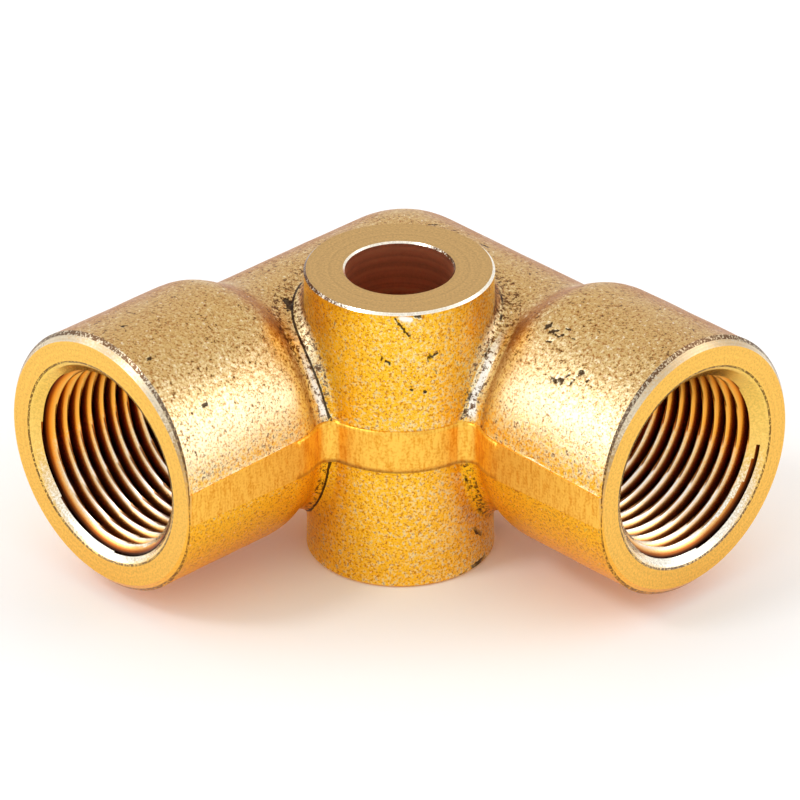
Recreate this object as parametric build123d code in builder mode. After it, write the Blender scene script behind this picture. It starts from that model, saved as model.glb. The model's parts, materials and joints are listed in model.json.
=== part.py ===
from build123d import *
import os
from math import radians, tan

# Bracketed elbow: one hot-forged brass body, machined at its two ports, its
# two seating faces and its bracket hole.
#
# Frame, in millimetres. The origin is on the lower seating face, on the axis
# of the bracket hole, and +Z runs up that hole. One arm points along -Y, the
# other along +X. Their axes cross behind the boss, at half the boss height.

# Bracket boss: the upright round pillar in the inner corner of the elbow
boss_height = 26.0
boss_radius = 7.9
boss_edge = 0.2
bracket_hole_radius = 4.5
bracket_hole_edge = 0.15
boss_offset = 10.1

# Arms, each a neck that swells over a shoulder into a threaded socket
port_reach = 34.5
neck_radius = 9.1
socket_radius = 10.8
shoulder_start = 16.4
shoulder_end = 22.2
half_round_gap = 1.3
valley_fillet = 1.3

# Flash land: the flat band that the trimming tool leaves round the parting line.
# It is highest round the corner and boss, and narrows towards the ports.
land_height = 4.1
land_height_at_port = 2.9
land_narrows_from = 12.0
land_proud = 0.12

# Turned port: flat end face, outer chamfer, mouth lip, countersink, thread bore.
# The bore is the drilled one, ready for a 3/8 inch parallel pipe thread.
face_radius = 10.7
lip_radius = 9.0
lip_depth = 0.12
countersink_radius = 8.65
thread_bore_radius = 7.475
thread_bore_depth = 14.5
drill_point_angle = 118.0

# Waterways drilled in from both ports, crossing in the corner
waterway_radius = 4.0
waterway_past_corner = 1.5

# Places that follow from the sizes above
parting_plane = Plane.XY.offset(boss_height / 2)
corner = Vector(-boss_offset, boss_offset, boss_height / 2)
drill_slope = tan(radians(drill_point_angle / 2))

# Each arm has a plane of its own: its X runs from the corner to the port, its
# Y lies level across the arm, and its Z runs up the object.
left_arm = Plane(origin=corner, x_dir=(0, -1, 0), z_dir=(0, 0, 1))
right_arm = Plane(origin=corner, x_dir=(1, 0, 0), z_dir=(0, 0, 1))
arms = (left_arm, right_arm)

# Half outline of an arm seen from above: round corner, neck, shoulder, socket.
# The shoulder is an S of two equal arcs.
shoulder_middle = ((shoulder_start + shoulder_end) / 2, (neck_radius + socket_radius) / 2)
with BuildSketch() as half_arm:
    with BuildLine():
        crown = RadiusArc((-neck_radius, 0), (0, neck_radius), neck_radius)
        neck = Line(crown @ 1, (shoulder_start, neck_radius))
        flare = TangentArc(neck @ 1, shoulder_middle, tangent=neck % 1)
        swell = TangentArc(flare @ 1, (shoulder_end, socket_radius), tangent=flare % 1)
        socket = Line(swell @ 1, (port_reach, socket_radius))
        Polyline(socket @ 1, (port_reach, 0), (-neck_radius, 0))
    make_face()

# The forging's outline at the parting plane, grown by what the land stands out
with BuildSketch(parting_plane) as land_outline:
    for bearing in (-90, 0):
        with Locations((-boss_offset, boss_offset)):
            add(half_arm.sketch, rotation=bearing)
            add(half_arm.sketch.mirror(Plane.XZ), rotation=bearing)
    Circle(boss_radius)
    offset(amount=land_proud)

# What narrows the land above the parting plane, seen from an arm's side
land_half = land_height / 2
land_half_at_port = land_height_at_port / 2
with BuildSketch() as land_wedge:
    with BuildLine():
        Polyline(
            (land_narrows_from, land_half),
            (port_reach, land_half_at_port),
            (port_reach + land_half, land_half_at_port),
            (port_reach + land_half, land_half),
            close=True,
        )
    make_face()

# Half section of all that the turning tools take off a port: its end face and
# outer chamfer, then mouth lip, countersink, thread bore and waterway
chamfer_width = socket_radius + half_round_gap + land_proud - face_radius
countersink_end = port_reach - lip_depth - (countersink_radius - thread_bore_radius)
thread_bore_end = port_reach - thread_bore_depth
waterway_start = thread_bore_end - (thread_bore_radius - waterway_radius) / drill_slope
drill_tip = -waterway_past_corner - waterway_radius / drill_slope
with BuildSketch() as port_tool:
    with BuildLine():
        Polyline(
            (port_reach + chamfer_width, 0),
            (port_reach + chamfer_width, face_radius + chamfer_width),
            (port_reach - chamfer_width, face_radius + chamfer_width),
            (port_reach, face_radius),
            (port_reach, lip_radius),
            (port_reach - lip_depth, countersink_radius),
            (countersink_end, thread_bore_radius),
            (thread_bore_end, thread_bore_radius),
            (waterway_start, waterway_radius),
            (-waterway_past_corner, waterway_radius),
            (drill_tip, 0),
            close=True,
        )
    make_face()

# The land: its valleys are the two upright edges nearest to the boss axis
with BuildPart() as flash_land:
    extrude(land_outline.sketch, amount=land_half, both=True)
    uprights = flash_land.edges().filter_by(Axis.Z)
    fillet(uprights.sort_by_distance(parting_plane.origin)[:2], radius=valley_fillet)
    for arm in arms:
        arm_side = Plane(origin=corner, x_dir=arm.x_dir, z_dir=-arm.y_dir)
        with BuildSketch(arm_side):
            add(land_wedge.sketch)
            mirror(about=Plane.XZ)
        extrude(amount=2 * socket_radius, both=True, mode=Mode.SUBTRACT)

with BuildPart() as elbow_body:
    # Both arms: round forms turned about their axes and set apart by the gap,
    # with an upright wall between them
    for arm in arms:
        for side in (-1, 1):
            half_round = arm.offset(side * half_round_gap / 2)
            with BuildSketch(half_round):
                add(half_arm.sketch)
            revolve(axis=Axis(half_round.origin, half_round.x_dir))
        with BuildSketch(arm):
            add(half_arm.sketch)
            mirror(about=Plane.XZ)
        extrude(amount=half_round_gap / 2, both=True)

    # The boss, with a fillet in the valley where it grows out of the arms
    with BuildSketch():
        Circle(boss_radius)
    extrude(amount=boss_height)
    boss_edges = elbow_body.edges(Select.NEW)
    valleys = boss_edges.filter_by_position(Axis.Z, 0, boss_height, inclusive=(False, False))
    fillet(valleys, radius=valley_fillet)

    # The flash land round the parting line
    add(flash_land.part)

    # Machined ports and waterways
    for arm in arms:
        with BuildSketch(arm):
            add(port_tool.sketch)
        revolve(axis=Axis(arm.origin, arm.x_dir), mode=Mode.SUBTRACT)

    # Bracket hole, and the broken edges of both seating faces
    with BuildSketch():
        Circle(bracket_hole_radius)
    extrude(amount=boss_height, mode=Mode.SUBTRACT)
    for place in (0, -1):
        seat = elbow_body.faces().filter_by(Plane.XY).sort_by(Axis.Z)[place]
        hole_rim, boss_rim = seat.edges().sort_by(SortBy.RADIUS)
        chamfer(boss_rim, length=boss_edge)
        chamfer(hole_rim, length=bracket_hole_edge)

elbow_body.part.label = "elbow_body"
os.makedirs("parts", exist_ok=True)
export_step(elbow_body.part, "parts/elbow_body.step")
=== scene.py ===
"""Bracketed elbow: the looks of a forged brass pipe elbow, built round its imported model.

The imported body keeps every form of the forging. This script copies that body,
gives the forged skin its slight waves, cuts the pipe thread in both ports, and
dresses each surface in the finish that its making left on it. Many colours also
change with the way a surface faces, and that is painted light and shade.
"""

import json
import logging
import math
from dataclasses import dataclass
from enum import Enum
from functools import partial

import bmesh
import bpy
import numpy as np
from bpy.types import Material, Mesh, Node, NodeSocket, NodeTree, Object
from mathutils import Matrix, Vector, noise

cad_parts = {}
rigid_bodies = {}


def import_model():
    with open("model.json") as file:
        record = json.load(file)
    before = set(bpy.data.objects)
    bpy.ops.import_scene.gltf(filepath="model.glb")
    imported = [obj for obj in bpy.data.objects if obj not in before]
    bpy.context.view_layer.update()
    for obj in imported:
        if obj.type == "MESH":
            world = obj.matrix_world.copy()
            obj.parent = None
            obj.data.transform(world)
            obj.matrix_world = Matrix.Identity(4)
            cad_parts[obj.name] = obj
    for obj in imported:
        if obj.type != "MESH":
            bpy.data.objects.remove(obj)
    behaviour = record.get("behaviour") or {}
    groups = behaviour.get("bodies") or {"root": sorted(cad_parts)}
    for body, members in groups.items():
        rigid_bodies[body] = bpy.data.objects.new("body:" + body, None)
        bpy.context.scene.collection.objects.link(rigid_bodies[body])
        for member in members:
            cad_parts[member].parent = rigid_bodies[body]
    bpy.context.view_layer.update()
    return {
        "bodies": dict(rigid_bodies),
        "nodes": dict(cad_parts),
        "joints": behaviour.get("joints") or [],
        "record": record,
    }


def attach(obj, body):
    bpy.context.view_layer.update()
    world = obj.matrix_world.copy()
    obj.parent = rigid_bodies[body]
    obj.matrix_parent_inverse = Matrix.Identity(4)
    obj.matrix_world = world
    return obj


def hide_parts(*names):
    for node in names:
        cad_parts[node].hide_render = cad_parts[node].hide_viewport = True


LOG = logging.getLogger("bracketed_elbow")
MM = 0.001

# Sizes repeated from the part's source, in millimetres
BOSS_HEIGHT = 26.0
BOSS_RADIUS = 7.9
BOSS_EDGE = 0.2
BRACKET_HOLE_RADIUS = 4.5
BRACKET_HOLE_EDGE = 0.15
BOSS_OFFSET = 10.1
PORT_REACH = 34.5
SOCKET_RADIUS = 10.8
HALF_ROUND_GAP = 1.3
LAND_HEIGHT = 4.1
FACE_RADIUS = 10.7
LIP_RADIUS = 9.0
LIP_DEPTH = 0.12
COUNTERSINK_RADIUS = 8.65
THREAD_BORE_RADIUS = 7.475
WATERWAY_RADIUS = 4.0

# Places that follow from them, then from where along an arm and how far out the port's tools
# work, and a place just past the tips of the waterway drills
PARTING_HEIGHT = BOSS_HEIGHT / 2
LAND_TOP = PARTING_HEIGHT + LAND_HEIGHT / 2
COUNTERSINK_START = PORT_REACH - LIP_DEPTH - COUNTERSINK_RADIUS + THREAD_BORE_RADIUS
CORNER = Vector((-BOSS_OFFSET, BOSS_OFFSET, PARTING_HEIGHT))
PORT_TOOLS = (9.0, 13.0)
PAST_DRILL_TIP = -4.1

# How far from the boss axis the fold of each valley lies at the band, what each millimetre
# of x plus y takes off that, and what each millimetre above the band adds
FOLD_RADIUS = 8.1
FOLD_LEAN = 0.015
FOLD_RISE = 0.08


class Arm(Enum):
    """The two arms, each by the way that it points from the corner."""

    LEFT = (0.0, -1.0, 0.0)
    RIGHT = (1.0, 0.0, 0.0)

    def axis(self) -> Vector:
        """Return the unit vector along the arm, out of its port."""
        return Vector(self.value)

    def place(self) -> Matrix:
        """Return the matrix that lays local +Z along the arm, with the corner as origin."""
        turn = self.axis().to_track_quat("Z", "Y").to_matrix().to_4x4()
        return Matrix.Translation(CORNER) @ turn


class Surface(Enum):
    """The surfaces of the body, by what made them. The value is the material slot."""

    SKIN = 0
    LAND = 1
    SEAT = 2
    EDGE = 3
    HOLE = 4
    FACE = 5
    CHAMFER = 6
    MOUTH = 7
    THREAD = 8
    BORE = 9


# How near a face is to a surface that it belongs to, in millimetres, the same for the facets
# of a cone, and how much of a normal points along an axis when a face stands upright, slants
# at 45 degrees or lies level
NEAR = 0.01
NEAR_CONE = 0.03
UPRIGHT = 0.05
SLANTED = math.sqrt(0.5)
LEVEL = 0.95


def held(value: float) -> float:
    """Return a value held between 0 and 1."""
    return min(max(value, 0.0), 1.0)


@dataclass
class Mark:
    """A stroke, nick or spot that handling left on the skin.

    Attributes:
        start: Where it starts, in millimetres.
        end: Where it ends.
        half_width: Half its width.
        tone: How dark it is, or below zero how bright, as a painted highlight.
        depth: How deep it is pressed in.
    """

    start: Vector
    end: Vector
    half_width: float = 0.1
    tone: float = 1.0
    depth: float = 0.04

    def __post_init__(self) -> None:
        """Take both places as vectors."""
        self.start, self.end = Vector(self.start), Vector(self.end)

    def aside(self, point: Vector) -> float:
        """Return how far a point is from the stroke."""
        run = self.end - self.start
        share = (point - self.start).dot(run) / run.length_squared
        return (point - self.start - run * held(share)).length

    def felt(self, point: Vector) -> float:
        """Return how much of the mark a point has, from 0 to 1."""
        return math.exp(-((self.aside(point) / self.half_width) ** 2))


def linear(code: str) -> tuple[float, float, float, float]:
    """Turn an sRGB hex colour into the linear colour that a shader takes.

    Args:
        code: Six hex digits, such as "E0B050".

    Returns:
        Red, green, blue and an alpha of one.
    """
    parts = [int(code[i : i + 2], 16) / 255 for i in (0, 2, 4)]
    red, green, blue = (c / 12.92 if c <= 0.04045 else ((c + 0.055) / 1.055) ** 2.4 for c in parts)
    return red, green, blue, 1.0


def add(tree: NodeTree, kind: str, settings: dict | str | None = None, **inputs) -> Node:
    """Add one node with its settings and what goes into its sockets.

    Args:
        tree: The node tree that gets the node.
        kind: The node's type name.
        settings: Attributes of the node, or just the word for its operation. Under the
            name "stops" stand the places and hex colours of its colour ramp.
        **inputs: Socket to value. A socket is its name with spaces written as
            underscores, or its number written as s0, s1. A value that is a node
            or an output socket is linked, and any other is set.

    Returns:
        The new node.
    """
    node = tree.nodes.new(kind)
    if isinstance(settings, str):
        settings = {"operation": settings}
    for name, value in (settings or {}).items():
        if name != "stops":
            setattr(node, name, value)
            continue
        while len(node.color_ramp.elements) < len(value):
            node.color_ramp.elements.new(1.0)
        for element, (place, code) in zip(node.color_ramp.elements, value):
            element.position = place
            element.color = linear(code)
    for name, value in inputs.items():
        numbered = name[0] == "s" and name[1:].isdigit()
        socket = node.inputs[int(name[1:]) if numbered else name.replace("_", " ")]
        if isinstance(value, Node):
            tree.links.new(value.outputs[0], socket)
        elif isinstance(value, NodeSocket):
            tree.links.new(value, socket)
        else:
            socket.default_value = value
    return node


# Kinds of node and settings that come up again and again
MATH = "ShaderNodeMath"
VECTOR_MATH = "ShaderNodeVectorMath"
RANGE = "ShaderNodeMapRange"
NOISE = "ShaderNodeTexNoise"
RAMP = "ShaderNodeValToRGB"
MIX = "ShaderNodeMix"
BUMP = "ShaderNodeBump"
SPLIT = "ShaderNodeSeparateXYZ"
COORDINATES = "ShaderNodeTexCoord"
COLOURS = {"data_type": "RGBA"}
TINT = {"data_type": "RGBA", "blend_type": "MULTIPLY"}

# Which way counts as up for a finish's tones: it leans a little to the photo's right
UPWARD = (0.05, 0.05, 1.0)

# Noise scale of the grain of every cut surface: 0.2 mm from grain to grain
CUT_GRAIN = 1 / (0.2 * MM)


def object_from(name: str, mesh: Mesh) -> Object:
    """Link a new object that shows a mesh.

    Args:
        name: The object's name.
        mesh: Its mesh.

    Returns:
        The new object, at the origin.
    """
    made = bpy.data.objects.new(name, mesh)
    bpy.context.scene.collection.objects.link(made)
    return made


def baked(made: Object) -> Object:
    """Turn an object's modifiers into plain mesh and remove them.

    Args:
        made: The object with live modifiers.

    Returns:
        The same object, with the finished mesh.
    """
    bpy.context.view_layer.update()
    seen = made.evaluated_get(bpy.context.evaluated_depsgraph_get())
    mesh = bpy.data.meshes.new_from_object(seen)
    made.modifiers.clear()
    made.data = mesh
    return made


@dataclass
class PipeThread:
    """The parallel pipe thread of one port, as the tap that cuts it.

    Attributes:
        arm: The arm whose port gets the thread.
        pitch: Distance from turn to turn, in millimetres as all sizes here.
        crest_radius: Radius of the ridges, a hair over the drilled bore.
        root_radius: Radius at the bottom of the grooves.
        lead_radius: Radius of the tap's nose, inside the drilled bore.
        full_depth: How deep the full thread goes behind the end face.
        lead_length: Length over which the grooves die out behind it.
        overrun: How far the tap reaches out of the mouth.
        clearance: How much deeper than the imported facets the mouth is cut.
        cone_slack: How far inside and outside the countersink a face still counts as on it.
        segments: Facets round the tap.
        rows_per_pitch: Rows of facets in each turn.
    """

    arm: Arm
    pitch: float = 1.337
    crest_radius: float = 7.5
    root_radius: float = 8.331
    lead_radius: float = 7.3
    full_depth: float = 11.8
    lead_length: float = 2.4
    overrun: float = 0.2
    clearance: float = 0.016
    cone_slack: tuple[float, float] = (0.01, 0.03)
    segments: int = 120
    rows_per_pitch: int = 12

    def tree(self) -> NodeTree:
        """Build the node tree that shapes the tap.

        Returns:
            A tree that makes its own rod, so the object that it is put on may be empty.
        """
        tree = bpy.data.node_groups.new("thread_tap", "GeometryNodeTree")
        new = partial(add, tree)
        length = self.full_depth + self.lead_length + self.overrun
        sizes = {
            "Pitch": self.pitch,
            "Crest Radius": self.crest_radius,
            "Root Radius": self.root_radius,
            "Lead Radius": self.lead_radius,
            "Lead Length": self.lead_length,
            "Length": length,
            "Inner End": PORT_REACH + self.overrun - length,
            "Mouth Depth": COUNTERSINK_START,
            "Mouth Radius": THREAD_BORE_RADIUS + self.clearance,
            "Lip Depth": PORT_REACH - LIP_DEPTH,
            "Lip Slope": (LIP_RADIUS - COUNTERSINK_RADIUS) / LIP_DEPTH,
            "Segments": self.segments,
            "Rows": round(length / self.pitch * self.rows_per_pitch),
        }
        kinds = {float: "NodeSocketFloat", int: "NodeSocketInt"}
        for name, size in sizes.items():
            socket = tree.interface.new_socket(name, in_out="INPUT", socket_type=kinds[type(size)])
            socket.default_value = size
        tree.interface.new_socket("Material", in_out="INPUT", socket_type="NodeSocketMaterial")
        tree.interface.new_socket("Geometry", in_out="OUTPUT", socket_type="NodeSocketGeometry")
        size = new("NodeGroupInput").outputs
        fan = {"fill_type": "TRIANGLE_FAN"}
        sides = {"Vertices": size["Segments"], "Side_Segments": size["Rows"]}
        rod = new("GeometryNodeMeshCylinder", fan, **sides, Radius=1.0, Depth=size["Length"])
        place = new(SPLIT, s0=new("GeometryNodeInputPosition"))
        middle = new(MATH, "MULTIPLY_ADD", s0=size["Length"], s1=0.5, s2=size["Inner End"])
        along = new(MATH, "ADD", s0=place.outputs["Z"], s1=middle)
        angle = new(MATH, "ARCTAN2", s0=place.outputs["Y"], s1=place.outputs["X"])
        turns = new(MATH, "DIVIDE", s0=angle, s1=-math.tau)
        pitches = new(MATH, "DIVIDE", s0=along, s1=size["Pitch"])
        phase = new(MATH, "ADD", s0=pitches, s1=turns)
        # a triangle wave, smoothed, has the slope of the 55 degree flanks and their rounded ends
        wave = new(MATH, "PINGPONG", s0=phase, s1=0.5)
        root = size["Root Radius"]
        smooth = {"interpolation_type": "SMOOTHSTEP"}
        cut = new(RANGE, smooth, Value=wave, From_Max=0.5, To_Min=size["Crest Radius"], To_Max=root)
        inner = size["Inner End"]
        outer = new(MATH, "ADD", s0=inner, s1=size["Lead Length"])
        nose = size["Lead Radius"]
        lead = new(RANGE, Value=along, From_Min=inner, From_Max=outer, To_Min=nose, To_Max=root)
        groove = new(MATH, "MINIMUM", s0=cut, s1=lead)
        # the countersink opens at 45 degrees, and past it the lip opens wider
        past_mouth = new(MATH, "SUBTRACT", s0=along, s1=size["Mouth Depth"])
        cone = new(MATH, "ADD", s0=past_mouth, s1=size["Mouth Radius"])
        past_lip = new(MATH, "SUBTRACT", s0=along, s1=size["Lip Depth"])
        wider = new(MATH, "SUBTRACT", s0=size["Lip Slope"], s1=1.0)
        flare = new(MATH, "MULTIPLY", s0=past_lip, s1=wider)
        only_past = new(MATH, "MAXIMUM", s0=flare, s1=0.0)
        opening = new(MATH, "ADD", s0=cone, s1=only_past)
        radius = new(MATH, "MAXIMUM", s0=groove, s1=opening)
        across = new(MATH, "MULTIPLY", s0=place.outputs["X"], s1=radius)
        upward = new(MATH, "MULTIPLY", s0=place.outputs["Y"], s1=radius)
        moved = new("ShaderNodeCombineXYZ", X=across, Y=upward, Z=along)
        tap = new("GeometryNodeSetPosition", Geometry=rod.outputs["Mesh"], Position=moved)
        real = new("GeometryNodeRealizeInstances", Geometry=tap)
        dressed = new("GeometryNodeSetMaterial", Geometry=real, Material=size["Material"])
        new("NodeGroupOutput", Geometry=dressed)
        return tree

    def tap(self, finish: Material, mouth: Material) -> Object:
        """Build the tap and its countersink as one tool, laid in its port.

        Args:
            finish: The material of the thread that it cuts.
            mouth: The material of the countersink that it cuts.

        Returns:
            The tool as a closed mesh, in millimetres.
        """
        made = object_from(f"tap_{self.arm.name.lower()}", bpy.data.meshes.new("tap"))
        modifier = made.modifiers.new("thread_tap", "NODES")
        modifier.node_group = self.tree()
        for item in modifier.node_group.interface.items_tree:
            if item.item_type == "SOCKET" and item.in_out == "INPUT" and item.name == "Material":
                modifier[item.identifier] = finish
        baked(made)
        made.data.materials.clear()
        for material in (finish, mouth):
            made.data.materials.append(material)
        for face in made.data.polygons:
            along = face.center.z
            past_cone = face.center.xy.length - (along - COUNTERSINK_START + THREAD_BORE_RADIUS)
            in_mouth = along > COUNTERSINK_START and past_cone > -self.cone_slack[0]
            on_edge = past_cone < self.cone_slack[1] or along > PORT_REACH - LIP_DEPTH
            face.material_index = int(in_mouth and on_edge)
        made.data.transform(self.arm.place())
        return made


def facing(tree: NodeTree, grain: Node, unrest: float, towards: tuple = UPWARD) -> Node:
    """Tell how far the surface faces up, unsettled a little by its grain.

    Args:
        tree: The material's nodes.
        grain: The noise that unsettles it.
        unrest: How much.
        towards: Which way counts as up.

    Returns:
        A node whose value goes from 0, straight down, to 1, straight up.
    """
    new = partial(add, tree)
    normal = new(COORDINATES).outputs["Normal"]
    height = new(VECTOR_MATH, "DOT_PRODUCT", s0=normal, s1=towards).outputs["Value"]
    lowest = -unrest / 2
    level = new(RANGE, Value=height, From_Min=-1.0, To_Min=lowest, To_Max=1.0 + lowest)
    return new(MATH, "MULTIPLY_ADD", s0=grain, s1=unrest, s2=level)


def rising(tones: tuple) -> list:
    """Return a ramp's stops for colours that are given by the surface's upward normal: painted light and
    shade.
    """
    return [((normal_z + 1) / 2, code) for normal_z, code in tones]


@dataclass(frozen=True)
class Finish:
    """A finish of bare metal.

    Attributes:
        name: The material's name.
        roughness: How dull it is.
    """

    name: str
    roughness: float

    def material(self) -> Material:
        """Make the material from what the finish builds.

        Returns:
            The material.
        """
        made = bpy.data.materials.new(self.name)
        made.use_nodes = True
        shader = made.node_tree.nodes["Principled BSDF"].inputs
        shader["Metallic"].default_value = 1.0
        shader["Roughness"].default_value = self.roughness
        for name, value in self.nodes(made.node_tree).items():
            made.node_tree.links.new(value, shader[name])
        return made

    def nodes(self, tree: NodeTree) -> dict[str, NodeSocket]:
        """Build what sets the finish apart, by the socket of the shader that it goes into."""
        raise NotImplementedError


@dataclass(frozen=True)
class ForgedSkin(Finish):
    """Hot-forged brass, shot-blasted: dry and grainy, with light and shade painted in by its normal.

    Its painted light is cream where it faces up and gold on its sides and underside. Painted glints
    stand for the light that its grain breaks into flecks, dark flecks of scale are dense in the valleys
    round the boss, and each valley has a dark line of painted shade in its fold with a painted highlight
    beside it.

    Attributes:
        tones: Colours by upward normal, which paint its light and shade.
        unrest: How much the flecks unsettle them.
        back_shade: Painted shade, a golden brown on its upper side where it faces back along the arms.
        pits: What the grain's hollows and heights do to its colour.
        fleck: Colour of the dark flecks.
        fold: Colour of the dark line of painted shade in the folds, and of the dark marks.
        painted_highlight: Colour of the painted glints in the bright flecks and bright marks, and of the
            painted highlight beside each valley's fold.
        spread: How far the roughness goes up and down from patch to patch.
        grain_mm: Size of the grain.
        grain_depth_mm: Depth of the grain.
        fleck_mm: Size of the flecks.
        patch_mm: Size of the patches in which they are dense or sparse.
        strewn_mm: Where a valley's flecks lie past its fold, and how far they reach.
        strewn_rise: How much further they reach for each millimetre of height.
        highlight_mm: Where a valley's painted highlight lies past its fold, and half that width.
        ragged_mm: How ragged that line is.
        highlight_ends_mm: Above the band, where the painted highlight is gone and where it is full.
        fold_shade_half_width: Half the width of the dark line of painted shade in a fold.
        fold_sparing: How soon that line fades to the right.
    """

    name: str = "forged_blasted_brass"
    tones: tuple = (
        (-0.8, "FFB434"),
        (-0.5, "FFC018"),
        (-0.05, "FFC82C"),
        (0.04, "FFD050"),
        (0.14, "FCE098"),
        (0.3, "FFF2C8"),
        (0.55, "FFF0C8"),
        (0.75, "E6CE98"),
        (0.95, "D2AC6C"),
    )
    unrest: float = 0.8
    back_shade: str = "B87414"
    pits: tuple = ((0.0, "C8A080"), (0.6, "FAF2EC"), (1.0, "FFFFFF"))
    fleck: str = "52240E"
    fold: str = "2A1810"
    painted_highlight: str = "FFFAF0"
    roughness: float = 0.4
    spread: float = 0.15
    grain_mm: float = 0.21
    grain_depth_mm: float = 0.035
    fleck_mm: float = 0.36
    patch_mm: float = 2.4
    strewn_mm: tuple[float, float] = (0.3, 0.4)
    strewn_rise: float = 0.12
    highlight_mm: tuple[float, float] = (1.0, 0.32)
    ragged_mm: float = 1.2
    highlight_ends_mm: tuple[float, float] = (6.5, 4.5)
    fold_shade_half_width: float = 0.1
    fold_sparing: float = 0.8

    def nodes(self, tree: NodeTree) -> dict[str, NodeSocket]:
        """Add the colour, roughness and grain.

        Args:
            tree: The material's nodes.

        Returns:
            What goes into the shader.
        """
        new = partial(add, tree)
        place = new(COORDINATES).outputs["Object"]
        normal = new(SPLIT, s0=new(COORDINATES).outputs["Normal"]).outputs
        grain = new(NOISE, Vector=place, Scale=1 / (self.grain_mm * MM), Detail=2.0, Roughness=0.8)
        uneven = new(NOISE, Vector=place, Scale=1 / (self.patch_mm * MM), Detail=3.0)
        coarse = new(NOISE, Vector=place, Scale=1 / (self.fleck_mm * MM), Detail=4.0, Roughness=0.75)
        # painted light: cream where the skin faces up, gold on its sides and underside
        tone = new(RAMP, {"stops": rising(self.tones)}, Fac=facing(tree, coarse, self.unrest))
        # painted shade: the upper side of both arms turns golden brown where it faces back
        aback = new(MATH, "MULTIPLY", s0=normal["X"], s1=-1.0)
        back = new(MATH, "MAXIMUM", s0=normal["Y"], s1=aback)
        astray = new(MATH, "MULTIPLY_ADD", s0=coarse, s1=self.unrest / 2, s2=back)
        back_shade = new(RANGE, Value=astray, From_Min=0.44, From_Max=0.64, To_Max=0.85)
        upper = new(RANGE, Value=normal["Z"], From_Min=0.05, From_Max=0.25)
        turned = new(MATH, "MULTIPLY", s0=back_shade, s1=upper)
        back_shaded = new(MIX, COLOURS, Factor=turned, s6=tone, s7=linear(self.back_shade))
        light = new(RANGE, Value=grain, From_Min=0.36, From_Max=0.54)
        pits = new(RAMP, {"stops": self.pits}, Fac=light)
        shaded = new(MIX, TINT, Factor=1.0, s6=back_shaded.outputs[2], s7=pits)
        colour = self.marked(tree, place, shaded.outputs[2], coarse, uneven)
        glossiest, dullest = self.roughness - self.spread, self.roughness + self.spread
        rough = new(RANGE, Value=uneven, To_Min=glossiest, To_Max=dullest)
        bump = new(BUMP, Strength=1.0, Distance=self.grain_depth_mm * MM, Height=grain)
        return {"Base Color": colour.outputs[2], "Roughness": rough.outputs[0], "Normal": bump.outputs[0]}

    def marked(
        self, tree: NodeTree, place: NodeSocket, base: NodeSocket, coarse: Node, uneven: Node
    ) -> Node:
        """Add the dark flecks, the painted glints, and each valley's painted highlight with the dark line
        of painted shade in its fold.

        Args:
            tree: The material's nodes.
            place: The place on the object.
            base: The colour without marks.
            coarse: The noise that places the flecks.
            uneven: The noise that makes them dense or sparse.

        Returns:
            The node that mixes the finished colour.
        """
        new = partial(add, tree)
        # how far a point is from the boss axis and above the band, and so from the fold
        flat = new(VECTOR_MATH, "MULTIPLY", s0=place, s1=(1.0, 1.0, 0.0))
        reach = new(VECTOR_MATH, "LENGTH", s0=flat).outputs["Value"]
        lean = (FOLD_LEAN, FOLD_LEAN, 0.0)
        aside = new(VECTOR_MATH, "DOT_PRODUCT", s0=flat, s1=lean).outputs["Value"]
        leant = new(MATH, "ADD", s0=reach, s1=aside)
        height = new(SPLIT, s0=place).outputs["Z"]
        over = new(MATH, "SUBTRACT", s0=height, s1=LAND_TOP * MM)
        rise = new(MATH, "MAXIMUM", s0=over, s1=0.0)
        out = new(MATH, "MULTIPLY_ADD", s0=rise, s1=-FOLD_RISE, s2=leant)
        # painted glints as bright flecks. A noise runs from about 0.3 to 0.7, and a range in it picks a
        # share of the skin
        bright = new(RANGE, Value=coarse, From_Min=0.37, From_Max=0.3, To_Max=0.7)
        glinted = new(MIX, COLOURS, Factor=bright, s6=base, s7=linear(self.painted_highlight))
        # a painted highlight on one side of each valley, ragged and broken
        line, half_width = self.highlight_mm
        ragged = new(MATH, "MULTIPLY_ADD", s0=uneven, s1=self.ragged_mm * MM, s2=out)
        highlit = new(MATH, "COMPARE", s0=ragged, s1=(FOLD_RADIUS + line) * MM, s2=half_width * MM)
        highest, full = self.highlight_ends_mm
        fading = new(RANGE, Value=rise, From_Min=highest * MM, From_Max=full * MM)
        lower = new(MATH, "MULTIPLY", s0=highlit, s1=fading)
        above = new(RANGE, Value=over, From_Min=0.0, From_Max=0.5 * MM)
        upper = new(MATH, "MULTIPLY", s0=lower, s1=above)
        worn = new(RANGE, Value=coarse, From_Min=0.62, From_Max=0.5, To_Max=0.95)
        highlight_share = new(MATH, "MULTIPLY", s0=upper, s1=worn)
        pale = new(MIX, COLOURS, Factor=highlight_share, s6=glinted.outputs[2], s7=linear(self.painted_highlight))
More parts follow.
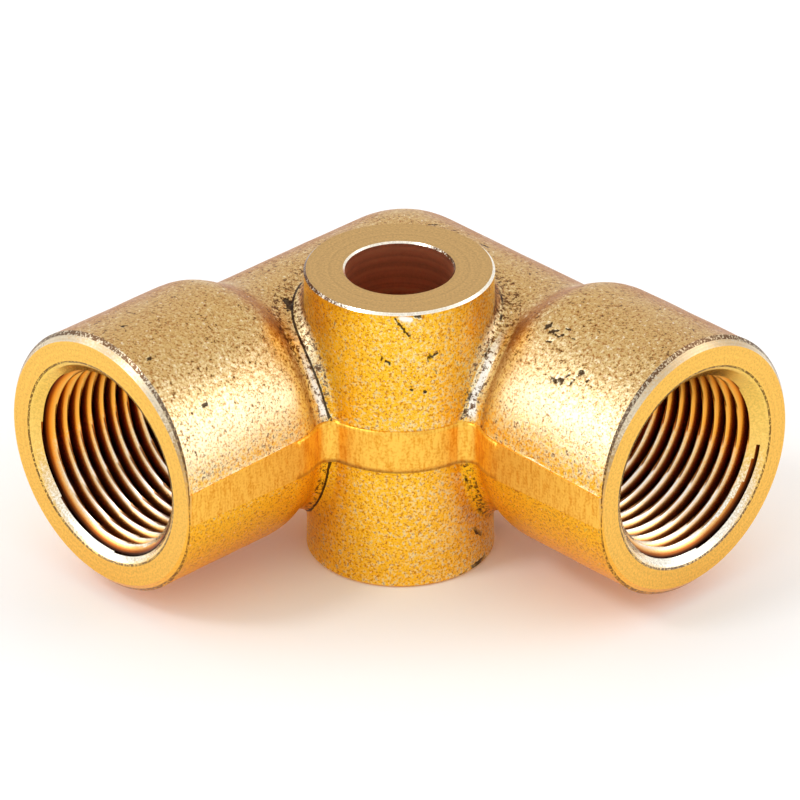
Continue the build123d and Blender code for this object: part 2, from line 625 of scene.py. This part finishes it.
        # dark flecks: dense in the valleys, and few elsewhere unless the skin faces up
        line, half_width = self.strewn_mm
        strewn = new(MATH, "MULTIPLY_ADD", s0=rise, s1=self.strewn_rise, s2=half_width * MM)
        around = new(MATH, "COMPARE", s0=out, s1=(FOLD_RADIUS + line) * MM, s2=strewn)
        wall, off_wall = (BOSS_RADIUS - 0.02) * MM, (BOSS_RADIUS + 0.03) * MM
        off_boss = new(RANGE, Value=reach, From_Min=wall, From_Max=off_wall)
        valley = new(MATH, "MULTIPLY", s0=around, s1=off_boss)
        dense = new(RANGE, Value=uneven, From_Min=0.35, From_Max=0.7, To_Min=0.62, To_Max=0.56)
        drop = new(MATH, "MULTIPLY_ADD", s0=valley, s1=-0.07, s2=dense)
        end = new(MATH, "ADD", s0=drop, s1=0.04)
        dark_spots = new(RANGE, Value=coarse, From_Min=drop, From_Max=end, To_Max=0.85)
        normal_z = new(SPLIT, s0=new(COORDINATES).outputs["Normal"]).outputs["Z"]
        open_up = new(RANGE, Value=normal_z, From_Min=0.0, From_Max=0.2, To_Min=0.12)
        allowed = new(MATH, "MAXIMUM", s0=open_up, s1=valley)
        specks = new(MATH, "MULTIPLY", s0=dark_spots, s1=allowed)
        spotted = new(MIX, COLOURS, Factor=specks, s6=pale.outputs[2], s7=linear(self.fleck))
        # painted shade: the dark line in each fold, broken, and more so to the right
        crease = new(MATH, "COMPARE", s0=out, s1=FOLD_RADIUS * MM, s2=self.fold_shade_half_width * MM)
        leftward = new(MATH, "MULTIPLY_ADD", s0=aside, s1=-self.fold_sparing / MM, s2=uneven)
        kept = new(RANGE, Value=leftward, From_Min=0.38, From_Max=0.48, To_Max=0.92)
        dark = new(MATH, "MULTIPLY", s0=crease, s1=kept)
        fold_shaded = new(MIX, COLOURS, Factor=dark, s6=spotted.outputs[2], s7=linear(self.fold))
        # the strokes, nicks and spots, with frayed edges
        mark = new("ShaderNodeAttribute", {"attribute_name": "marks"}).outputs["Fac"]
        frayed = new(MATH, "MULTIPLY_ADD", s0=coarse, s1=1.6, s2=mark)
        black = new(RANGE, Value=frayed, From_Min=1.0, From_Max=1.2, To_Max=0.92)
        struck = new(MIX, COLOURS, Factor=black, s6=fold_shaded.outputs[2], s7=linear(self.fold))
        # bright marks get a painted highlight
        white = new(RANGE, Value=mark, From_Min=-0.15, From_Max=-0.5)
        return new(MIX, COLOURS, Factor=white, s6=struck.outputs[2], s7=linear(self.painted_highlight))


@dataclass(frozen=True)
class TrimmedLand(Finish):
    """The trimmed band round the parting line: the tool's drag runs straight up it.

    Attributes:
        base: Its brighter colour.
        shade: Its darker colour, in the drag lines.
        drag_mm: Distance from drag line to drag line.
        drag_depth_mm: Depth of the drag lines.
    """

    name: str = "trimmed_brass"
    base: str = "FFCC58"
    shade: str = "E8A030"
    roughness: float = 0.36
    drag_mm: float = 0.22
    drag_depth_mm: float = 0.012

    def nodes(self, tree: NodeTree) -> dict[str, NodeSocket]:
        """Add the upright drag lines.

        Args:
            tree: The material's nodes.

        Returns:
            What goes into the shader.
        """
        new = partial(add, tree)
        place = new(COORDINATES).outputs["Object"]
        drawn = new("ShaderNodeMapping", Vector=place, Scale=(1.0, 1.0, 0.18))
        drag = new(NOISE, Vector=drawn, Scale=1 / (self.drag_mm * MM), Detail=2.0)
        grain = new(NOISE, Vector=place, Scale=CUT_GRAIN, Detail=2.0)
        both = new(MATH, "ADD", s0=drag, s1=grain)
        tone = new(RANGE, Value=both, From_Min=0.75, From_Max=1.1)
        colour = new(MIX, COLOURS, Factor=tone, s6=linear(self.shade), s7=linear(self.base))
        bump = new(BUMP, Strength=1.0, Distance=self.drag_depth_mm * MM, Height=drag)
        return {"Base Color": colour.outputs[2], "Normal": bump.outputs[0]}


@dataclass(frozen=True)
class TurnedBrass(Finish):
    """Brass cut on a lathe or with a drill: bright, with fine rings from the tool's feed.

    Attributes:
        tones: Colours by upward normal, which paint its light and shade.
        ring_mm: Distance from ring to ring, coarse enough to show.
        ring_depth_mm: Depth of the rings.
        ring_share: How much the rings colour it, against its grain.
        line: Between which radii in millimetres it is dark, if any, or on a chamfer
            between which shares of its width.
        dark: Its colour there. In the countersunk mouth that dark ring is painted shade.
        towards: Which way counts as up for its tones.
    """

    tones: tuple
    ring_mm: float = 0.2
    ring_depth_mm: float = 0.002
    ring_share: float = 0.3
    line: tuple[float, float] = (0.0, 0.0)
    dark: str = "4A2410"
    towards: tuple[float, float, float] = UPWARD

    def nodes(self, tree: NodeTree) -> dict[str, NodeSocket]:
        """Add the rings, which follow the tool's path in the UV map, and the grain.

        Args:
            tree: The material's nodes.

        Returns:
            What goes into the shader.
        """
        new = partial(add, tree)
        place = new(COORDINATES).outputs["Object"]
        path = new(SPLIT, s0=new("ShaderNodeUVMap", {"uv_map": "turning"})).outputs
        step = new(MATH, "DIVIDE", s0=path["X"], s1=self.ring_mm)
        rings = new(NOISE, {"noise_dimensions": "1D"}, W=step, Scale=1.0, Detail=2.0)
        grain = new(NOISE, Vector=place, Scale=CUT_GRAIN, Detail=2.0, Roughness=0.7)
        upward = facing(tree, grain, unrest=0.3, towards=self.towards)
        tone = new(RAMP, {"stops": rising(self.tones)}, Fac=upward)
        worn = new(MIX, Factor=self.ring_share, s2=grain, s3=rings)
        light = new(RANGE, Value=worn, From_Min=0.35, From_Max=0.65, To_Min=0.78, To_Max=1.1)
        shaded = new(VECTOR_MATH, "SCALE", s0=tone, Scale=light)
        middle = sum(self.line) / 2
        on_line = new(MATH, "COMPARE", s0=path["Y"], s1=middle, s2=self.line[1] - middle)
        broken = new(RANGE, Value=grain, From_Min=0.4, From_Max=0.5, To_Max=0.85)
        drawn = new(MATH, "MULTIPLY", s0=on_line, s1=broken)
        colour = new(MIX, COLOURS, Factor=drawn, s6=shaded, s7=linear(self.dark))
        bump = new(BUMP, Strength=1.0, Distance=self.ring_depth_mm * MM, Height=rings)
        return {"Base Color": colour.outputs[2], "Normal": bump.outputs[0]}


@dataclass(frozen=True)
class CutThread(Finish):
    """Tapped brass: crests bright with painted light, and grooves painted darker with depth as shade, near
    black at the root.

    Attributes:
        tones: Colours by upward normal, which paint its light and shade.
        groove_shades: The painted shade that depth gives them, from crest to groove.
    """

    name: str = "tapped_brass"
    tones: tuple = ((-0.6, "FFCC68"), (0.1, "FFC050"), (0.35, "F8E0B0"), (0.6, "FFFAF0"))
    groove_shades: tuple = ((0.0, "FFFFFF"), (0.4, "F0C080"), (0.62, "A05C2C"), (0.85, "3C1C10"), (1.0, "1A0C08"))
    roughness: float = 0.25

    def nodes(self, tree: NodeTree) -> dict[str, NodeSocket]:
        """Add the colour from crest to groove.

        Args:
            tree: The material's nodes.

        Returns:
            What goes into the shader.
        """
        new = partial(add, tree)
        place = new(COORDINATES).outputs["Object"]
        grain = new(NOISE, Vector=place, Scale=CUT_GRAIN, Detail=2.0)
        path = new(SPLIT, s0=new("ShaderNodeUVMap", {"uv_map": "turning"})).outputs
        depth = new(RANGE, Value=path["Y"], From_Min=THREAD_BORE_RADIUS, From_Max=PipeThread.root_radius)
        tone = new(RAMP, {"stops": rising(self.tones)}, Fac=facing(tree, grain, unrest=0.2))
        # painted shade: darker with depth into the grooves
        groove_shade = new(RAMP, {"stops": self.groove_shades}, Fac=depth)
        colour = new(MIX, TINT, Factor=1.0, s6=tone, s7=groove_shade)
        return {"Base Color": colour.outputs[2]}


# Colours of each cut surface, by upward normal. Where they change with it, they are painted light and
# shade
SEAT_TONES = ((-1.0, "CAA264"), (1.0, "CAA264"))
# the boss's edge: painted shade and a near-white painted highlight, by the way it faces
EDGE_TONES = ((-0.3, "FFC050"), (0.3, "5A3418"), (0.45, "6A4422"), (0.6, "FFF6E4"))
HOLE_TONES = ((-1.0, "FFC098"), (1.0, "FFC098"))
FACE_TONES = ((-1.0, "FAC25A"), (1.0, "FAC25A"))
CHAMFER_TONES = ((-0.1, "FFBC48"), (0.08, "E4AE5C"), (0.3, "C4A474"), (0.55, "EADCC0"), (0.7, "CEB28A"))
MOUTH_TONES = ((-0.3, "FFD468"), (0.2, "FFD070"), (0.6, "FFF8E8"))
# the bore: painted darker where it faces up, as shade
BORE_TONES = ((-1.0, "D88A40"), (1.0, "A05428"))


def finishes() -> dict[Surface, Material]:
    """Return the material of each surface."""
    dress = {
        Surface.SKIN: ForgedSkin(),
        Surface.LAND: TrimmedLand(),
        Surface.SEAT: TurnedBrass("faced_brass", 0.42, SEAT_TONES, ring_mm=0.3, ring_share=0.25),
        Surface.EDGE: TurnedBrass("edge_brass", 0.25, EDGE_TONES, towards=(0.3, 0.3, 1.0)),
        Surface.HOLE: TurnedBrass("drilled_brass", 0.35, HOLE_TONES, 0.6, 0.02, 0.7),
        Surface.FACE: TurnedBrass("turned_brass", 0.36, FACE_TONES, ring_mm=0.3, ring_share=0.2),
        Surface.CHAMFER: TurnedBrass("chamfered_brass", 0.3, CHAMFER_TONES, 0.2, 0.002, 0.2, (0.58, 1.2)),
        # the countersink's dark ring next to the lip is painted shade
        Surface.MOUTH: TurnedBrass("countersunk_brass", 0.25, MOUTH_TONES, line=(8.82, 9.05)),
        Surface.THREAD: CutThread(),
        Surface.BORE: TurnedBrass("bored_brass", 0.35, BORE_TONES, 0.4, 0.02),
    }
    return {surface: finish.material() for surface, finish in dress.items()}


# The marks that the photo shows, in millimetres. Past MARK_REACH from its start none is felt.
MARK_REACH = 3.0
MARKS = (
    # on the boss
    Mark((5.42, -5.74, 25.6), (6.34, -4.71, 23.58), 0.07),
    Mark((5.85, -5.3, 25.55), (6.29, -4.77, 25.4), 0.22, -1.0, 0.08),
    Mark((6.5, -4.49, 25.75), (6.72, -4.15, 25.65), 0.16, 1.0, 0.08),
    Mark((4.58, -6.43, 21.67), (5.1, -6.02, 21.44), 0.09),
    Mark((7.08, -3.5, 21.72), (7.39, -2.78, 21.94), 0.1),
    Mark((7.15, -3.35, 20.47), (7.36, -2.87, 20.36), 0.08, 0.4, 0.02),
    Mark((6.9, -3.8, 18.6), (6.95, -3.7, 18.55), 0.12, 0.8),
    Mark((6.3, -4.75, 18.9), (6.35, -4.7, 18.8), 0.12, 0.7),
    # on the corner and the right neck
    Mark((-8.34, 11.15, 22.68), (-7.79, 12.24, 22.49), 0.1, 0.6),
    Mark((-5.8, 12.29, 22.48), (-5.75, 12.4, 22.48), 0.14, 0.5),
    Mark((-2.9, 12.4, 22.45), (-2.3, 12.4, 22.45), 0.12, 1.0),
    # on the left shoulder
    Mark((-7.45, -5.91, 22.35), (-6.8, -6.0, 22.25), 0.3, 0.8, 0.08),
    Mark((-6.6, -6.3, 22.25), (-6.3, -6.6, 22.3), 0.28, 0.9, 0.08),
    Mark((-5.5, -6.9, 22.2), (-5.2, -6.9, 22.1), 0.2, 1.0, 0.08),
    # on the right socket, six strokes first
    Mark((15.59, 1.94, 20.71), (15.88, 2.33, 21.14), 0.11, 0.8, 0.05),
    Mark((16.37, 1.96, 20.74), (16.52, 2.38, 21.19), 0.11, 0.8, 0.05),
    Mark((16.61, 2.41, 21.22), (16.96, 2.85, 21.65), 0.11, 0.8, 0.05),
    Mark((17.49, 2.33, 21.14), (17.67, 2.71, 21.53), 0.11, 0.8, 0.05),
    Mark((17.76, 2.96, 21.75), (18.0, 3.42, 22.13), 0.11, 0.8, 0.05),
    Mark((18.78, 2.64, 21.45), (18.89, 3.1, 21.87), 0.11, 0.8, 0.05),
    Mark((11.9, 5.23, 23.28), (12.3, 5.35, 23.3), 0.14, 0.8),
    Mark((12.78, 5.08, 23.21), (13.2, 5.3, 23.3), 0.12, 0.9),
    Mark((13.68, 4.87, 23.09), (13.9, 5.2, 23.25), 0.13, 0.8),
    Mark((13.73, 5.74, 23.52), (14.1, 5.8, 23.54), 0.11, 0.9),
    Mark((13.0, 4.2, 22.69), (13.4, 4.3, 22.76), 0.12, 0.8),
    Mark((14.9, 5.2, 23.28), (15.2, 5.25, 23.3), 0.11, 0.7),
    # on the left socket
    Mark((-6.13, -22.29, 23.69), (-6.1, -22.2, 23.69), 0.16, 0.9),
    Mark((-1.64, -20.08, 20.36), (-1.65, -20.2, 20.38), 0.18, 1.0),
    Mark((-10.65, -20.93, 24.43), (-10.6, -21.1, 24.43), 0.15, 0.7),
)


def marks_near(point: Vector) -> list[Mark]:
    """Return the marks that a point may feel."""
    return [mark for mark in MARKS if (point - mark.start).length < MARK_REACH]


@dataclass
class ElbowBody:
    """The forged and turned body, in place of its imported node.

    Attributes:
        node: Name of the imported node.
        skin_facet: Length to which the skin's facets are cut, in millimetres.
        valley_facet: The same, in the valleys round the boss.
        valley_width: Where a valley's fine facets start and end, past the boss wall.
        valley_reach: How far from the parting line they go.
        mark_facet: The same length, at the marks.
        rounds: How often an edge may be cut in two.
        wave_depth: How deep the skin's waves are.
        wave_length: Distance from wave to wave.
        fold_depth: How deep the fold is.
        fold_width: How wide the fold is.
        fold_start: Height over which it sets in, past the band.
        fold_end: Height over which it dies out.
        fold_reach: How far from the parting line it has died out.
        sharp_degrees: Angle from which an edge is a sharp one.
        threads: The thread of each port.
    """

    node: str = "elbow_body"
    skin_facet: float = 0.9
    valley_facet: float = 0.26
    valley_width: tuple[float, float] = (0.02, 1.0)
    valley_reach: float = 10.0
    mark_facet: float = 0.11
    rounds: int = 8
    wave_depth: float = 0.07
    wave_length: float = 3.5
    fold_depth: float = 0.12
    fold_width: float = 0.13
    fold_start: float = 0.8
    fold_end: float = 1.5
    fold_reach: float = 9.0
    sharp_degrees: float = 28.0
    threads: tuple[PipeThread, ...] = tuple(PipeThread(arm) for arm in Arm)

    def build(self, frame: dict) -> Object:
        """Build the dressed body.


        Returns:
            The finished object.
        """
        dress = finishes()
        body = object_from("elbow_forging", self.skin_mesh(frame["nodes"][self.node]))
        for surface in Surface:
            body.data.materials.append(dress[surface])
        for thread in self.threads:
            self.cut(body, thread.tap(dress[Surface.THREAD], dress[Surface.MOUTH]))
        self.map_turning(body.data)
        self.map_marks(body.data)
        body.data.transform(Matrix.Scale(MM, 4))
        body.data.polygons.foreach_set("use_smooth", np.ones(len(body.data.polygons), bool))
        body.data.set_sharp_from_angle(angle=math.radians(self.sharp_degrees))
        self.part_surfaces(body.data)
        body.data.update()
        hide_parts(self.node)
        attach(body, "root")
        return body

    def skin_mesh(self, node: Object) -> Mesh:
        """Copy the node's mesh in millimetres, sort its surfaces and work its skin.

        Args:
            node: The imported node.

        Returns:
            A closed mesh.
        """
        shape = bmesh.new()
        shape.from_mesh(node.data)
        bmesh.ops.scale(shape, vec=(1 / MM,) * 3, verts=shape.verts)
        bmesh.ops.remove_doubles(shape, verts=shape.verts, dist=0.001)
        bmesh.ops.dissolve_degenerate(shape, dist=0.0005, edges=shape.edges)
        shape.normal_update()
        for face in shape.faces:
            face.material_index = self.surface_of(face).value
        for _ in range(self.rounds):
            long = [e for e in shape.edges if self.on_skin(e) and e.calc_length() > self.facet_at(e)]
            if not long:
                break
            bmesh.ops.subdivide_edges(shape, edges=long, cuts=1)
            bmesh.ops.triangulate(shape, faces=shape.faces, quad_method="BEAUTY", ngon_method="BEAUTY")
        shape.normal_update()
        self.work_skin(shape)
        shape.normal_update()
        open_edges = sum(not e.is_manifold for e in shape.edges)
        LOG.info("body: %d triangles, %d open edges", len(shape.faces), open_edges)
        mesh = bpy.data.meshes.new("elbow_forging")
        shape.to_mesh(mesh)
        shape.free()
        return mesh

    @staticmethod
    def surface_of(face: bmesh.types.BMFace) -> Surface:
        """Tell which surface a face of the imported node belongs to.

        Args:
            face: The face, in millimetres.

        Returns:
            The surface.
        """
        middle = face.calc_center_median()
        reach = math.hypot(middle.x, middle.y)
        steep = abs(face.normal.z)
        if reach < BRACKET_HOLE_RADIUS + BRACKET_HOLE_EDGE and steep < UPRIGHT:
            return Surface.HOLE
        end = min(middle.z, BOSS_HEIGHT - middle.z)
        if end < BOSS_EDGE and reach < BOSS_RADIUS + NEAR:
            return Surface.SEAT if steep > LEVEL else Surface.EDGE
        for arm in Arm:
            from_corner = middle - CORNER
            along = from_corner.dot(arm.axis())
            radius = (from_corner - along * arm.axis()).length
            outward = face.normal.dot(arm.axis())
            off_chamfer = abs(along + radius - PORT_REACH - FACE_RADIUS)
            if along > 0 and off_chamfer < NEAR_CONE and abs(outward - SLANTED) < SLANTED / 4:
                return Surface.CHAMFER
            if along > PORT_REACH - NEAR and outward > LEVEL:
                return Surface.FACE
            if radius < LIP_RADIUS and along > COUNTERSINK_START:
                return Surface.MOUTH
            if radius < THREAD_BORE_RADIUS + NEAR and along > PAST_DRILL_TIP:
                return Surface.BORE
        if abs(middle.z - PARTING_HEIGHT) < LAND_HEIGHT / 2 + NEAR and not UPRIGHT < steep < LEVEL:
            return Surface.LAND
        return Surface.SKIN

    @staticmethod
    def on_skin(edge: bmesh.types.BMEdge) -> bool:
        """Tell whether an edge lies on the skin or its band."""
        skin = (Surface.SKIN.value, Surface.LAND.value)
        return any(face.material_index in skin for face in edge.link_faces)

    def facet_at(self, edge: bmesh.types.BMEdge) -> float:
        """Return how long an edge may be where it lies."""
        middle = (edge.verts[0].co + edge.verts[1].co) / 2
        reach = math.hypot(middle.x, middle.y)
        side = abs(middle.z - PARTING_HEIGHT)
        if any(mark.aside(middle) < 2.0 * mark.half_width for mark in marks_near(middle)):
            return self.mark_facet
        nearest, farthest = self.valley_width
        in_valley = nearest < reach - BOSS_RADIUS < farthest and LAND_HEIGHT / 2 < side < self.valley_reach
        return self.valley_facet if in_valley else self.skin_facet

    def work_skin(self, shape: bmesh.types.BMesh) -> None:
        """Press the slight waves, the folds and the marks into the skin, never outwards.

        Args:
            shape: The body in millimetres, which changes.
        """
        moves = []
        for point in shape.verts:
            if any(face.material_index != Surface.SKIN.value for face in point.link_faces):
                continue
            wave = held((1 + noise.noise(point.co / self.wave_length)) / 2)
            reach = math.hypot(point.co.x, point.co.y)
            side = abs(point.co.z - PARTING_HEIGHT)
            rise = max(point.co.z - LAND_TOP, 0.0)
            line = FOLD_RADIUS - FOLD_LEAN * (point.co.x + point.co.y) + FOLD_RISE * rise
            aside = (reach - line) / self.fold_width
            starting = held((side - LAND_HEIGHT / 2) / self.fold_start)
            ending = held((self.fold_reach - side) / self.fold_end)
            fold = self.fold_depth * starting * ending * math.exp(-aside * aside)
            dent = max((mark.depth * mark.felt(point.co) for mark in marks_near(point.co)), default=0.0)
            moves.append((point, point.normal * (self.wave_depth * wave + fold + dent)))
        for point, move in moves:
            point.co -= move

    def cut(self, body: Object, tap: Object) -> None:
        """Cut a tap out of the body and drop the tap.

        Args:
            body: The body, which changes.
            tap: The tap, which is removed.
        """
        modifier = body.modifiers.new("tapping", "BOOLEAN")
        modifier.operation = "DIFFERENCE"
        modifier.object = tap
        modifier.solver = "EXACT"
        modifier.material_mode = "TRANSFER"
        baked(body)
        bpy.data.objects.remove(tap)
        LOG.info("cut: %d faces", len(body.data.polygons))

    def map_turning(self, mesh: Mesh) -> None:
        """Write the path of the turning tools and the radius that they cut to a UV map.

        Args:
            mesh: The body in millimetres, which changes.
        """
        points = np.empty(len(mesh.vertices) * 3, np.float32)
        mesh.vertices.foreach_get("co", points)
        point = points.reshape(-1, 3)
        radius = np.hypot(point[:, 0], point[:, 1])
        path = radius - point[:, 2]
        for arm in Arm:
            along, from_axis = self.from_axis(point, arm)
            near = (along > PORT_TOOLS[0]) & (from_axis < PORT_TOOLS[1])
            path = np.where(near, from_axis - along, path)
            radius = np.where(near, from_axis, radius)
        # on a chamfer the second number is the share of its width, from inner to outer edge
        steep = np.clip(np.abs(point[:, 2] - PARTING_HEIGHT) / np.maximum(radius, 1.0), 0.0, 1.0)
        level = HALF_ROUND_GAP / 2 * np.sqrt(1 - steep**2)
        skin_radius = HALF_ROUND_GAP / 2 * steep + np.sqrt(SOCKET_RADIUS**2 - level**2)
        share = (radius - FACE_RADIUS) / (skin_radius - FACE_RADIUS)
        corners = np.empty(len(mesh.loops), np.int32)
        mesh.loops.foreach_get("vertex_index", corners)
        counts = np.empty(len(mesh.polygons), np.int32)
        surfaces = np.empty(len(mesh.polygons), np.int32)
        mesh.polygons.foreach_get("loop_total", counts)
        mesh.polygons.foreach_get("material_index", surfaces)
        on_chamfer = np.repeat(surfaces, counts) == Surface.CHAMFER.value
        second = np.where(on_chamfer, share[corners], radius[corners])
        layer = mesh.uv_layers.new(name="turning")
        layer.data.foreach_set("uv", np.stack([path[corners], second], 1).ravel())

    @staticmethod
    def map_marks(mesh: Mesh) -> None:
        """Write how dark or bright the marks make each point, for the skin's finish.

        Args:
            mesh: The body in millimetres, which changes.
        """
        felt = np.zeros(len(mesh.vertices), np.float32)
        for index, point in enumerate(mesh.vertices):
            felt[index] = sum(mark.tone * mark.felt(point.co) for mark in marks_near(point.co))
        mesh.attributes.new("marks", "FLOAT", "POINT").data.foreach_set("value", felt)

    @staticmethod
    def part_surfaces(mesh: Mesh) -> None:
        """Make every edge between two surfaces a sharp one.

        Args:
            mesh: The body, which changes.
        """
        first: dict[int, int] = {}
        for face in mesh.polygons:
            for loop in face.loop_indices:
                edge = mesh.loops[loop].edge_index
                if first.setdefault(edge, face.material_index) != face.material_index:
                    mesh.edges[edge].use_edge_sharp = True

    @staticmethod
    def from_axis(points: np.ndarray, arm: Arm) -> tuple[np.ndarray, np.ndarray]:
        """Measure points from an arm's axis.

        Args:
            points: One point a row.
            arm: The arm.

        Returns:
            How far each point is along the axis from the corner, and out from it.
        """
        from_corner = points - np.array(CORNER)
        axis = np.array(arm.value)
        along = from_corner @ axis
        return along, np.linalg.norm(from_corner - along[:, None] * axis, axis=1)


@dataclass
class Studio:
    """A pale floor in a white room, with soft lamps.

    Attributes:
        floor_colour: Colour of the floor.
        floor_size: Side of the floor, in metres.
        room_light: Strength of the room's light on dull surfaces.
    """

    floor_colour: str = "FFFFFF"
    floor_size: float = 3.0
    room_light: float = 0.88

    def build(self) -> None:
        """Build floor, room and lamps."""
        self.floor()
        self.room()
        self.lamp("left_softbox", (-0.33, -0.34, 0.17), 0.3, 0.5)
        self.lamp("right_softbox", (0.33, 0.31, 0.21), 0.3, 0.5)
        self.lamp("key", (-0.12, -0.38, 0.5), 0.12, 0.6)

    def floor(self) -> None:
        """Lay the floor under the object."""
        half = self.floor_size / 2
        mesh = bpy.data.meshes.new("floor")
        corners = [(-half, -half, 0), (half, -half, 0), (half, half, 0), (-half, half, 0)]
        mesh.from_pydata(corners, [], [(0, 1, 2, 3)])
        floor = object_from("floor", mesh)
        paper = bpy.data.materials.new("pale_paper")
        paper.use_nodes = True
        shader = paper.node_tree.nodes["Principled BSDF"]
        shader.inputs["Base Color"].default_value = linear(self.floor_colour)
        shader.inputs["Roughness"].default_value = 0.9
        mesh.materials.append(paper)

    def room(self) -> None:
        """Light the room: white where it is seen, softer as light."""
        world = bpy.data.worlds.new("room")
        world.use_nodes = True
        bpy.context.scene.world = world
        tree = world.node_tree
        tree.nodes.clear()
        new = partial(add, tree)
        rays = new("ShaderNodeLightPath").outputs
        seen = new(MATH, "MAXIMUM", s0=rays["Is Camera Ray"], s1=rays["Is Glossy Ray"])
        clear = new(MATH, "MAXIMUM", s0=seen, s1=rays["Is Transmission Ray"])
        strength = new(RANGE, Value=clear, To_Min=self.room_light, To_Max=1.0)
        light = new("ShaderNodeBackground", Color=(1.0, 1.0, 1.0, 1.0), Strength=strength)
        new("ShaderNodeOutputWorld", Surface=light)

    def lamp(self, name: str, place: tuple[float, float, float], size: float, power: float) -> None:
        """Hang a square soft lamp that looks at the object.

        Args:
            name: The lamp's name.
            place: Where it hangs, in metres.
            size: Its side, in metres.
            power: Its power, in watts.
        """
        light = bpy.data.lights.new(name, "AREA")
        light.size = size
        light.energy = power
        lamp = bpy.data.objects.new(name, light)
        lamp.location = place
        aim = Vector((0, 0, PARTING_HEIGHT * MM)) - lamp.location
        lamp.rotation_euler = aim.to_track_quat("-Z", "Y").to_euler()
        bpy.context.scene.collection.objects.link(lamp)


@dataclass
class PhotoCamera:
    """The photograph's camera.

    Attributes:
        azimuth: Its bearing round the object, in degrees from -Y towards +X.
        elevation: Its height above the horizon, in degrees.
        roll: Its tilt round its own line of sight, in degrees.
        distance: From the corner of the elbow, in millimetres.
        frame_pixels: Side of the photo.
        focal_pixels: Its focal length, in pixels.
        corner_pixel: Where it sees the corner of the elbow.
    """

    azimuth: float = 46.304
    elevation: float = 29.578
    roll: float = -0.264
    distance: float = 595.07
    frame_pixels: float = 800.0
    focal_pixels: float = 7004.1
    corner_pixel: tuple[float, float] = (403.3, 322.0)

    def build(self) -> None:
        """Set up the camera and make it the scene's."""
        turn, rise, roll = map(math.radians, (self.azimuth, self.elevation, self.roll))
        back = Vector((math.sin(turn) * math.cos(rise), -math.cos(turn) * math.cos(rise), math.sin(rise)))
        level = Vector((math.cos(turn), math.sin(turn), 0.0))
        right = math.cos(roll) * level + math.sin(roll) * back.cross(level)
        up = back.cross(right)
        half = self.frame_pixels / 2
        aside = (self.corner_pixel[0] - half) / self.focal_pixels * self.distance
        below = (self.corner_pixel[1] - half) / self.focal_pixels * self.distance
        eye = CORNER + back * self.distance - right * aside + up * below
        camera = bpy.data.cameras.new("camera")
        camera.sensor_width = 36.0
        camera.lens = self.focal_pixels / self.frame_pixels * camera.sensor_width
        camera.clip_start, camera.clip_end = 0.01, 20.0
        seen = bpy.data.objects.new("camera", camera)
        turned = Matrix((right, up, back)).transposed().to_4x4()
        seen.matrix_world = Matrix.Translation(eye * MM) @ turned
        bpy.context.scene.collection.objects.link(seen)
        bpy.context.scene.camera = seen


def main() -> None:
    """Build the object and its studio."""
    logging.basicConfig(level=logging.INFO, format="%(message)s")
    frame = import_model()
    body = ElbowBody().build(frame)
    LOG.info("%s: %d triangles", body.name, sum(len(p.vertices) - 2 for p in body.data.polygons))
    Studio().build()
    PhotoCamera().build()
    bpy.context.scene.view_settings.view_transform = "Standard"


if __name__ == "__main__":
    main()
